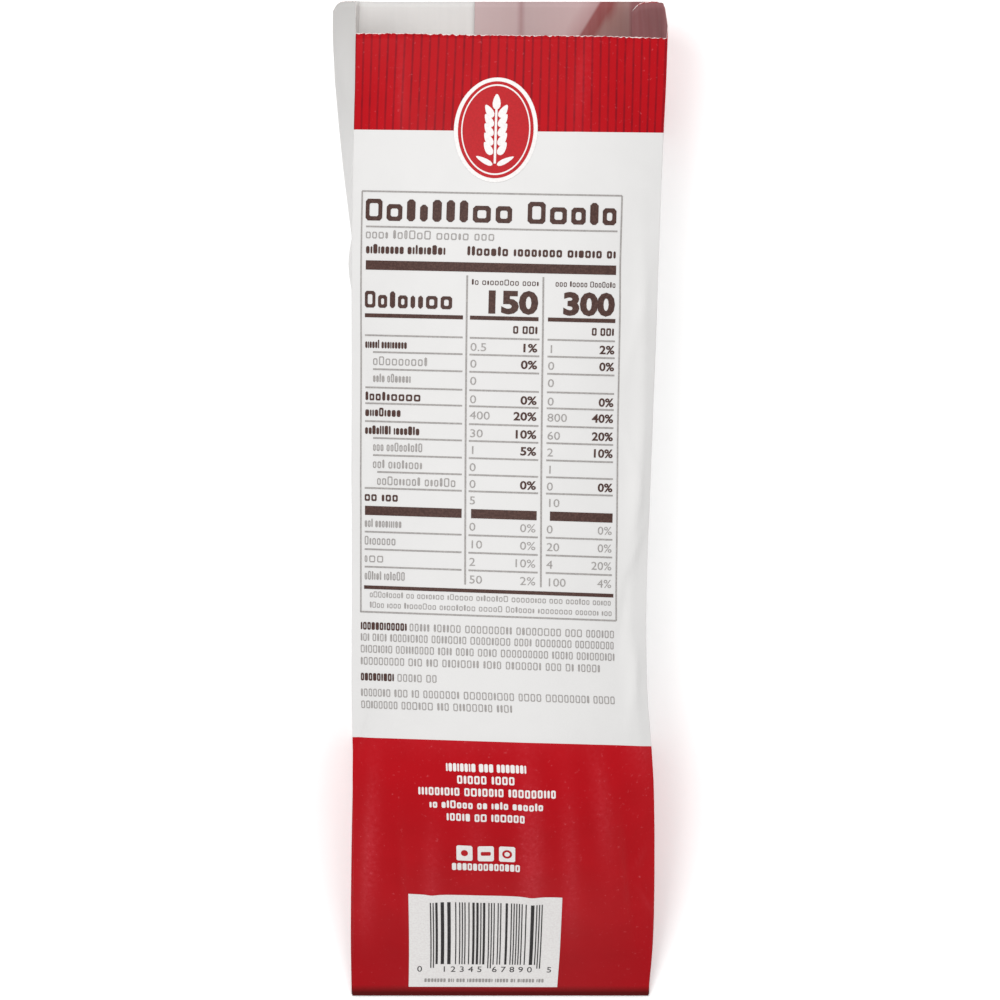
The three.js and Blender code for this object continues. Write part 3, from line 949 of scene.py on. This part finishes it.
def lay_print(name, ink, tree, paper, material):
    """Lays one ink's page on the paper and keeps the result as a plain mesh."""
    page = prints[ink]
    flat_points = np.array(page["points"])
    flat_points[:, 1] *= -1
    piece = new_object(name, flat_points, page["faces"], smooth_faces=False)
    modifier = piece.modifiers.new("lay", "NODES")
    modifier.node_group = tree
    sockets = {s.name: s.identifier for s in tree.interface.items_tree if s.in_out == "INPUT"}
    for socket, value in (("Paper", paper), ("Height", 1.0), ("Ink", material)):
        modifier[sockets[socket]] = value
    bpy.context.view_layer.update()
    depsgraph = bpy.context.evaluated_depsgraph_get()
    laid = bpy.data.meshes.new_from_object(piece.evaluated_get(depsgraph))
    piece.modifiers.clear()
    piece.data = laid
    laid.name = name
    return piece


# ---------------------------------------------------------------------------------------------
# Materials
# ---------------------------------------------------------------------------------------------
def linear(code):
    """An sRGB hex colour as linear RGBA."""
    parts = [int(code[i : i + 2], 16) / 255 for i in (1, 3, 5)]
    return [p / 12.92 if p <= 0.04045 else ((p + 0.055) / 1.055) ** 2.4 for p in parts] + [1.0]


def add(tree, kind, settings=(), **links):
    """Adds a node to a tree; a kind with no prefix is a shader node. settings maps its properties
    and inputs to values, and a tuple of them to a tuple of values, with colours in hex. links maps
    its inputs to sockets, or to nodes, for their first output in use. An input is named, spaces
    as underscores, or is _N for the Nth."""
    node = tree.nodes.new(kind if "Node" in kind else "ShaderNode" + kind)

    def find(key):
        if key[0] == "_":
            return node.inputs[int(key[1:])]
        return next(s for s in node.inputs if s.enabled and s.name == key.replace("_", " "))

    for key, value in dict(settings).items():
        for name, one in zip(key, value) if isinstance(key, tuple) else [(key, value)]:
            if hasattr(node, name):
                setattr(node, name, one)
            else:
                find(name).default_value = linear(one) if str(one)[0] == "#" else one
    for key, source in links.items():
        if isinstance(source, bpy.types.Node):
            source = next(s for s in source.outputs if s.enabled)
        tree.links.new(source, find(key))
    return node


def new_material(name):
    """An empty material, its node tree, and Object coordinates in it."""
    material = bpy.data.materials.new(name)
    material.use_nodes = True
    tree = material.node_tree
    tree.nodes.clear()
    return material, tree, add(tree, "TexCoord").outputs["Object"]


def set_stops(ramp, stops):
    """Gives a colour ramp its stops, each a position and a hex colour."""
    ramp.elements.remove(ramp.elements[1])
    ramp.elements[0].position, ramp.elements[0].color = stops[0][0], linear(stops[0][1])
    for position, code in stops[1:]:
        ramp.elements.new(position).color = linear(code)


RANGE = ("From Min", "From Max", "To Min", "To Max")
PAPER_WHITE, PAPER_CLOUD = "#DFDEDD", "#D9D8D7"
PAPER_INSIDE, PAPER_STREAK = "#DEDCDA", "#D6D4D2"
PAPER_PAINTED_SHADE = "#BFBDBB"  # painted shade: the left gusset is greyer near the mouth
BARE_PULP = "#F1E4E2"
RED, RED_CLOUD = "#B70B18", "#A80813"
STRIPE_RED = "#7E0A18"
PINHOLE_RED = "#D9656C"  # white paper through pinholes in the ink
RUB_AND_HIGHLIGHT_RED = "#DE5560"  # and painted highlight with rub wear on the crest of a crease
END_DARKER_RED = "#86000C"  # the red is darker towards the sealed end
FOLD_SHADE_RED = "#3A0D0A"  # painted shade along the sealed end's fold
FOLD_V = 262.0  # the middle of that fold, from the foot of the panel to the folded flap
BAND_END = 26.6  # v where the striped band ends
BASE_START = 179.4  # and where the red base starts
STRIPE_PITCH = 2.15
FIBRE = 1 / (0.35 * MM)  # paper fibres, drawn three times as coarse as real so that they show
CLOUD = 1 / (9 * MM)  # soft unevenness of the sheet's formation


def zones(tree):
    """The paper's flat place as u, v and the distance from the cut, and which points are to the
    right of the back panel's left edge, on the red band, and on red ink, from 0 to 1."""
    place = add(tree, "Attribute", {"attribute_name": "flat"}).outputs["Vector"]
    flat = add(tree, "SeparateXYZ", {}, Vector=place).outputs
    right = add(tree, "Math", {"operation": "GREATER_THAN", "_1": 0.0}, _0=flat["X"])
    high = add(tree, "Math", {"operation": "LESS_THAN", "_1": BAND_END}, _0=flat["Y"])
    low = add(tree, "Math", {"operation": "GREATER_THAN", "_1": BASE_START}, _0=flat["Y"])
    band = add(tree, "Math", {"operation": "MULTIPLY"}, _0=right, _1=high)
    red = add(tree, "Math", {"operation": "MAXIMUM"}, _0=band, _1=low)
    return flat, right, band, red


# Bleached kraft paper, machine-glazed and printed: the glazed side gives white paper a soft
# sheen and the solid red ink a satin one, and the sheet's fibres show as faint cloudiness.
def printed_kraft():
    material, tree, place = new_material("printed_bleached_kraft_paper")
    flat, right, band, red = zones(tree)
    cloud = add(tree, "TexNoise", {"Scale": CLOUD, "Detail": 4.0, "Roughness": 0.55}, Vector=place)
    fibre = add(tree, "TexNoise", {"Scale": FIBRE, "Detail": 2.0}, Vector=place)

    # darker pinstripes on the band, printed a little unevenly
    wave = add(tree, "Math", {"operation": "PINGPONG", "_1": STRIPE_PITCH / 2}, _0=flat["X"])
    soft = {RANGE: (0.08, 0.42, 1.0, 0.0), "interpolation_type": "SMOOTHSTEP"}
    line = add(tree, "MapRange", soft, Value=wave)
    press = add(tree, "TexNoise", {"Scale": 1 / (4 * MM), "Detail": 4.0}, Vector=place)
    strength = add(tree, "MapRange", {RANGE: (0.3, 0.7, 0.5, 1.0)}, Value=press)
    even = add(tree, "Math", {"operation": "MULTIPLY"}, _0=band, _1=line)
    stripe = add(tree, "Math", {"operation": "MULTIPLY"}, _0=even, _1=strength)

    # pinholes in the ink, and painted highlight with rub wear on the crests of the creases
    grit = {"Scale": 1 / (1.1 * MM), "Detail": 3.0, "Roughness": 0.7}
    specks = add(tree, "TexNoise", grit, Vector=place)
    pinholes = add(tree, "MapRange", {RANGE: (0.64, 0.75, 0.0, 0.38)}, Value=specks)
    crest = add(tree, "Attribute", {"attribute_name": "rubbed"}).outputs["Fac"]
    wear_and_highlight = add(tree, "MapRange", {RANGE: (0.3, 0.75, 0.1, 0.42)}, Value=specks)
    rubbed = add(tree, "Math", {"operation": "MULTIPLY"}, _0=crest, _1=wear_and_highlight)

    # darker towards the sealed end, and painted shade along its fold
    darker_to_end = add(tree, "MapRange", {RANGE: (226.0, 242.0, 0.0, 0.28)}, Value=flat["Y"])
    off_fold = add(tree, "Math", {"operation": "SUBTRACT", "_1": FOLD_V}, _0=flat["Y"])
    from_fold = add(tree, "Math", {"operation": "ABSOLUTE"}, _0=off_fold)
    # painted shade in the fold, where the paper turns under
    fold_shade = add(tree, "MapRange", {RANGE: (8.3, 10.6, 0.85, 0.0)}, Value=from_fold)

    ink = add(tree, "Mix", {"data_type": "RGBA", "A": RED, "B": RED_CLOUD}, Factor=cloud)
    over = (
        (stripe, STRIPE_RED), (pinholes, PINHOLE_RED), (rubbed, RUB_AND_HIGHLIGHT_RED),
        (darker_to_end, END_DARKER_RED), (fold_shade, FOLD_SHADE_RED),
    )
    for share, code in over:
        ink = add(tree, "Mix", {"data_type": "RGBA", "B": code}, Factor=share, A=ink)

    # painted shade on the outside left of the back panel, strongest at the mouth
    near_mouth = add(tree, "MapRange", {RANGE: (-8.0, 45.0, 0.9, 0.0)}, Value=flat["Y"])
    on_left = add(tree, "Math", {"operation": "SUBTRACT", "_0": 1.0}, _1=right)
    painted_shade = add(tree, "Math", {"operation": "MULTIPLY"}, _0=near_mouth, _1=on_left)
    tones = {"data_type": "RGBA", "A": PAPER_WHITE, "B": PAPER_CLOUD}
    clean = add(tree, "Mix", tones, Factor=cloud)
    white = add(tree, "Mix", {"data_type": "RGBA", "B": PAPER_PAINTED_SHADE}, Factor=painted_shade, A=clean)
    face = add(tree, "Mix", {"data_type": "RGBA"}, Factor=red, A=white, B=ink)

    # bare pulp along the torn cut
    tear = add(tree, "TexNoise", {"Scale": 1 / (0.9 * MM), "Detail": 3.0}, Vector=place)
    reach = add(tree, "MapRange", {RANGE: (0.35, 0.7, 0.0, 0.3)}, Value=tear)
    bare = add(tree, "Math", {"operation": "LESS_THAN"}, _0=flat["Z"], _1=reach)
    color = add(tree, "Mix", {"data_type": "RGBA", "B": BARE_PULP}, Factor=bare, A=face)

    gloss = add(tree, "MapRange", {"To Min": 0.62, "To Max": 0.4}, Value=red)
    grain = add(tree, "MapRange", {"To Min": -0.04, "To Max": 0.04}, Value=fibre)
    rough = add(tree, "Math", {"operation": "ADD"}, _0=gloss, _1=grain)
    fine = add(tree, "Bump", {"Strength": 0.16, "Distance": 0.02 * MM}, Height=fibre)
    cockle = add(tree, "TexNoise", {"Scale": 1 / (5 * MM), "Detail": 3.0}, Vector=place)
    deep = {"Strength": 0.35, "Distance": 0.12 * MM}
    bump = add(tree, "Bump", deep, Height=cockle, Normal=fine)
    shader = add(
        tree, "BsdfPrincipled", {"IOR": 1.5, "Specular IOR Level": 0.1},
        Base_Color=color, Roughness=rough, Normal=bump,
    )
    add(tree, "OutputMaterial", {}, Surface=shader)
    return material


# Colours of the print that shows through on the inside, by flat distance from the right gusset on
# the front panel: a dark band of two layers' worth with painted shade of the gusset's overhang,
# then one layer's from where a layer ends on a slant.
SHOW_START, SHOW_WIDTH = 117.0, 50.0
SHOW_THROUGH_AND_SHADE = [
    (0.16, "#854B4E"), (0.18, "#95706C"), (0.23, "#916660"), (0.26, "#843836"),
    (0.32, "#8A4040"), (0.335, "#B28C8C"), (0.43, "#C0A4A4"), (0.72, "#B79F9F"),
    (0.745, "#A27F80"), (0.77, "#BBA2A2"), (1.0, "#C2ABAB"),
]
SHOW_SLANT = 0.6  # sideways run of that end for each millimetre from the cut
SLANT_BEGINS = (128.0, 132.0)  # between these u it takes on its slant
SLANT_ENDS = (142.0, 149.0)  # and between these it loses it
SHOW_DULL = "#C9B9B8"  # unprinted fibres over the show-through


# The sheet's unglazed inside: matt, and thin enough for the solid print outside to show through.
def kraft_inside():
    material, tree, place = new_material("unglazed_kraft_paper")
    flat, _, _, red = zones(tree)
    u = flat["X"]
    fibre = add(tree, "TexNoise", {"Scale": FIBRE, "Detail": 3.0}, Vector=place)
    drawn_out = add(tree, "Mapping", {"Scale": (1.0, 0.06, 1.0)}, Vector=place)
    streaks = add(tree, "TexNoise", {"Scale": 1 / (1.6 * MM), "Detail": 3.0}, Vector=drawn_out)
    tones = {"data_type": "RGBA", "A": PAPER_INSIDE, "B": PAPER_STREAK}
    plain = add(tree, "Mix", tones, Factor=streaks)
    begins = add(tree, "MapRange", {RANGE: SLANT_BEGINS + (0.0, -SHOW_SLANT)}, Value=u)
    ends = add(tree, "MapRange", {RANGE: SLANT_ENDS + (1.0, 0.0)}, Value=u)
    lean = add(tree, "Math", {"operation": "MULTIPLY"}, _0=begins, _1=ends)
    slant = add(tree, "Math", {"operation": "MULTIPLY_ADD"}, _0=flat["Z"], _1=lean, _2=u)
    span = {"From Min": SHOW_START, "From Max": SHOW_START + SHOW_WIDTH}
    across = add(tree, "MapRange", span, Value=slant)
    # the ramp's dark band beside the right gusset is partly painted shade
    through = add(tree, "ValToRGB", {}, Fac=across)
    set_stops(through.color_ramp, SHOW_THROUGH_AND_SHADE)
    dull = add(tree, "Math", {"operation": "MULTIPLY", "_1": 0.16}, _0=streaks)
    faded = add(tree, "Mix", {"data_type": "RGBA", "B": SHOW_DULL}, Factor=dull, A=through)
    color = add(tree, "Mix", {"data_type": "RGBA"}, Factor=red, A=plain, B=faded)
    bump = add(tree, "Bump", {"Strength": 0.3, "Distance": 0.03 * MM}, Height=fibre)
    matt = {"Roughness": 0.82, "Specular IOR Level": 0.3}
    shader = add(tree, "BsdfPrincipled", matt, Base_Color=color, Normal=bump)
    add(tree, "OutputMaterial", {}, Surface=shader)
    return material


# The sheet's cut edge: bare white pulp, roughened where the serrated knife tore it.
def cut_pulp():
    material, tree, place = new_material("cut_paper_pulp")
    fibre = add(tree, "TexNoise", {"Scale": FIBRE, "Detail": 2.0}, Vector=place)
    color = add(tree, "Mix", {"data_type": "RGBA", "A": "#EFEAE6", "B": "#DED6D2"}, Factor=fibre)
    shader = add(tree, "BsdfPrincipled", {"Roughness": 0.9}, Base_Color=color)
    add(tree, "OutputMaterial", {}, Surface=shader)
    return material


# Flexographic ink, a thin matt film that takes the paper's grain: thin ink lets the paper
# through in tiny pinholes, and heavy ink is a little uneven.
def printing_ink(name, code, thin_code, roughness):
    material, tree, place = new_material(name)
    press = add(tree, "TexNoise", {"Scale": 1 / (0.5 * MM), "Detail": 3.0}, Vector=place)
    thin = add(tree, "MapRange", {"From Min": 0.4, "From Max": 0.75}, Value=press)
    color = add(tree, "Mix", {"data_type": "RGBA", "A": code, "B": thin_code}, Factor=thin)
    bump = add(tree, "Bump", {"Strength": 0.12, "Distance": 0.02 * MM}, Height=press)
    matt = {"Roughness": roughness, "Specular IOR Level": 0.25}
    shader = add(tree, "BsdfPrincipled", matt, Base_Color=color, Normal=bump)
    add(tree, "OutputMaterial", {}, Surface=shader)
    return material


CRUST_TONES = [(0.2, "#D9A868"), (0.6, "#B8742F"), (0.95, "#8A4A1C")]
CRUMB, EAR_BROWN, FLOUR = "#E3C38F", "#6E3712", "#F0E6D4"


# Baguette crust, baked on a stone: deep golden brown, darkest on its ridges, paler underneath and
# at the sides, with torn cream crumb in the scores and a dusting of flour on top.
def baked_crust():
    material, tree, place = new_material("baked_bread_crust")
    opened = add(tree, "Attribute", {"attribute_name": "opened"}).outputs["Fac"]
    ear = add(tree, "Attribute", {"attribute_name": "ear"}).outputs["Fac"]
    height = add(tree, "SeparateXYZ", {}, Vector=place).outputs["Z"]
    uneven = {"Scale": 1 / (14 * MM), "Detail": 5.0, "Roughness": 0.6}
    bake = add(tree, "TexNoise", uneven, Vector=place)
    level = add(tree, "MapRange", {RANGE: (0.0, 42 * MM, -0.25, 0.3)}, Value=height)
    toast = add(tree, "Math", {"operation": "ADD"}, _0=bake, _1=level)
    color = add(tree, "ValToRGB", {}, Fac=toast)
    set_stops(color.color_ramp, CRUST_TONES)
    grains = {"Scale": 1 / (1.4 * MM), "Detail": 4.0, "Roughness": 0.75}
    dust = add(tree, "TexNoise", grains, Vector=place)
    drift = add(tree, "TexNoise", {"Scale": 1 / (26 * MM)}, Vector=place)
    both = add(tree, "Math", {"operation": "MULTIPLY"}, _0=dust, _1=drift)
    flour = add(tree, "MapRange", {RANGE: (0.26, 0.36, 0.0, 0.55)}, Value=both)
    for share, code in ((opened, CRUMB), (ear, EAR_BROWN), (flour, FLOUR)):
        color = add(tree, "Mix", {"data_type": "RGBA", "B": code}, Factor=share, A=color)
    skin = add(tree, "TexVoronoi", {"Scale": 1 / (1.8 * MM)}, Vector=place)
    pits = add(tree, "Bump", {"Strength": 0.5, "Distance": 0.15 * MM}, Height=skin)
    bump = add(tree, "Bump", {"Strength": 0.6, "Distance": 0.3 * MM}, Height=dust, Normal=pits)
    rough = add(tree, "MapRange", {"To Min": 0.48, "To Max": 0.85}, Value=flour)
    shader = add(tree, "BsdfPrincipled", {}, Base_Color=color, Roughness=rough, Normal=bump)
    add(tree, "OutputMaterial", {}, Surface=shader)
    return material


CARD_GLOW = 0.14  # light that comes through the card, which lies on a lit table


# A flat floor of matt card, lit faintly from below.
def pale_card():
    material, tree, place = new_material("matt_white_card")
    tooth = add(tree, "TexNoise", {"Scale": 1 / (2 * MM)}, Vector=place)
    color = add(tree, "Mix", {"data_type": "RGBA", "A": "#FFFFFF", "B": "#FCFCFC"}, Factor=tooth)
    lit = {
        "Roughness": 0.95, "Specular IOR Level": 0.1,
        "Emission Color": "#FFFFFF", "Emission Strength": CARD_GLOW,
    }
    shader = add(tree, "BsdfPrincipled", lit, Base_Color=color)
    add(tree, "OutputMaterial", {}, Surface=shader)
    return material


# ---------------------------------------------------------------------------------------------
# The pieces
# ---------------------------------------------------------------------------------------------
columns, grid, flat = web_grid()
moved, rubbed = wrinkle(grid, flat)
grid = grid + outward(grid) * moved[..., None]
grid[..., 2] = np.maximum(grid[..., 2], 0.0)
bag = build_bag(grid, flat, rubbed)
for material in (printed_kraft(), kraft_inside(), cut_pulp()):
    bag.data.materials.append(material)

for line in LINES:
    words(*line)
medallion()
table()
contact_squares()
bar_code()
INKS = {
    "brown": printing_ink("dark_brown_ink", "#432C27", "#5A4039", 0.6),
    "grey": printing_ink("thin_grey_ink", "#979391", "#ADA9A6", 0.65),
    "black": printing_ink("black_ink", "#1E1C1D", "#3A3738", 0.55),
    "white": printing_ink("opaque_white_ink", "#ECEAE8", "#E2DDDC", 0.5),
    "red": printing_ink("red_ink", RED, RED_CLOUD, 0.5),
}
sheet = paper_to_print_on(columns, grid, flat)
tree = laying_tree()
printed = [lay_print("print_" + ink, ink, tree, sheet, material) for ink, material in INKS.items()]
bpy.data.objects.remove(sheet)

loaf = build_loaf()
loaf.data.materials.append(baked_crust())

for piece in [bag, loaf] + printed:
    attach(piece, "root")
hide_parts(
    "back_panel", "front_panel", "left_gusset_back_leaf", "left_gusset_front_leaf",
    "right_gusset_back_leaf", "right_gusset_front_leaf", "bottom_fold",
)
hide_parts("baguette")

# ---------------------------------------------------------------------------------------------
# The floor, the camera and the lights
# ---------------------------------------------------------------------------------------------
FLOOR = 3000.0  # half the floor's width
FLOOR_Z = -0.3
corners = [(x * FLOOR, y * FLOOR, FLOOR_Z) for x, y in ((-1, -1), (1, -1), (1, 1), (-1, 1))]
floor = new_object("floor", corners, [(0, 1, 2, 3)], smooth_faces=False)
floor.data.materials.append(pale_card())

PRINT_PLANE = 0.044  # height of the plane that the view's width is measured in, in metres
REACH = 0.7  # the camera's height above it
VIEW_WIDTH = 0.25
SENSOR = 36
camera = bpy.data.objects.new("camera", bpy.data.cameras.new("camera"))
bpy.context.scene.collection.objects.link(camera)
camera.location = (0, -0.0004, PRINT_PLANE + REACH)
camera.data.sensor_width = SENSOR
camera.data.lens = SENSOR * REACH / VIEW_WIDTH
camera.data.clip_start = 0.01
bpy.context.scene.camera = camera

# Each softbox is its place, its aim, its size in metres and its power in watts.
SOFTBOXES = {
    "left_box": ((-0.42, 0.2, 1.15), (0, 0, 0.02), 0.5, 5.3),
    "right_box": ((0.42, 0.1, 1.15), (0, 0, 0.02), 0.5, 2.6),
    "head_box": ((0.0, 0.95, 0.95), (0, 0, 0.02), 0.6, 3.3),
}
for name, (place, aim, size, power) in SOFTBOXES.items():
    light = bpy.data.lights.new(name, "AREA")
    light.size = size
    light.energy = power
    lamp = bpy.data.objects.new(name, light)
    lamp.location = place
    lamp.rotation_euler = (Vector(aim) - Vector(place)).to_track_quat("-Z", "Y").to_euler()
    bpy.context.scene.collection.objects.link(lamp)
ROOM_LIGHT = 0.55
world = bpy.data.worlds.new("studio")
world.use_nodes = True
world.node_tree.nodes["Background"].inputs["Color"].default_value = (1, 1, 1, 1)
world.node_tree.nodes["Background"].inputs["Strength"].default_value = ROOM_LIGHT
bpy.context.scene.world = world
bpy.context.scene.view_settings.view_transform = "Standard"
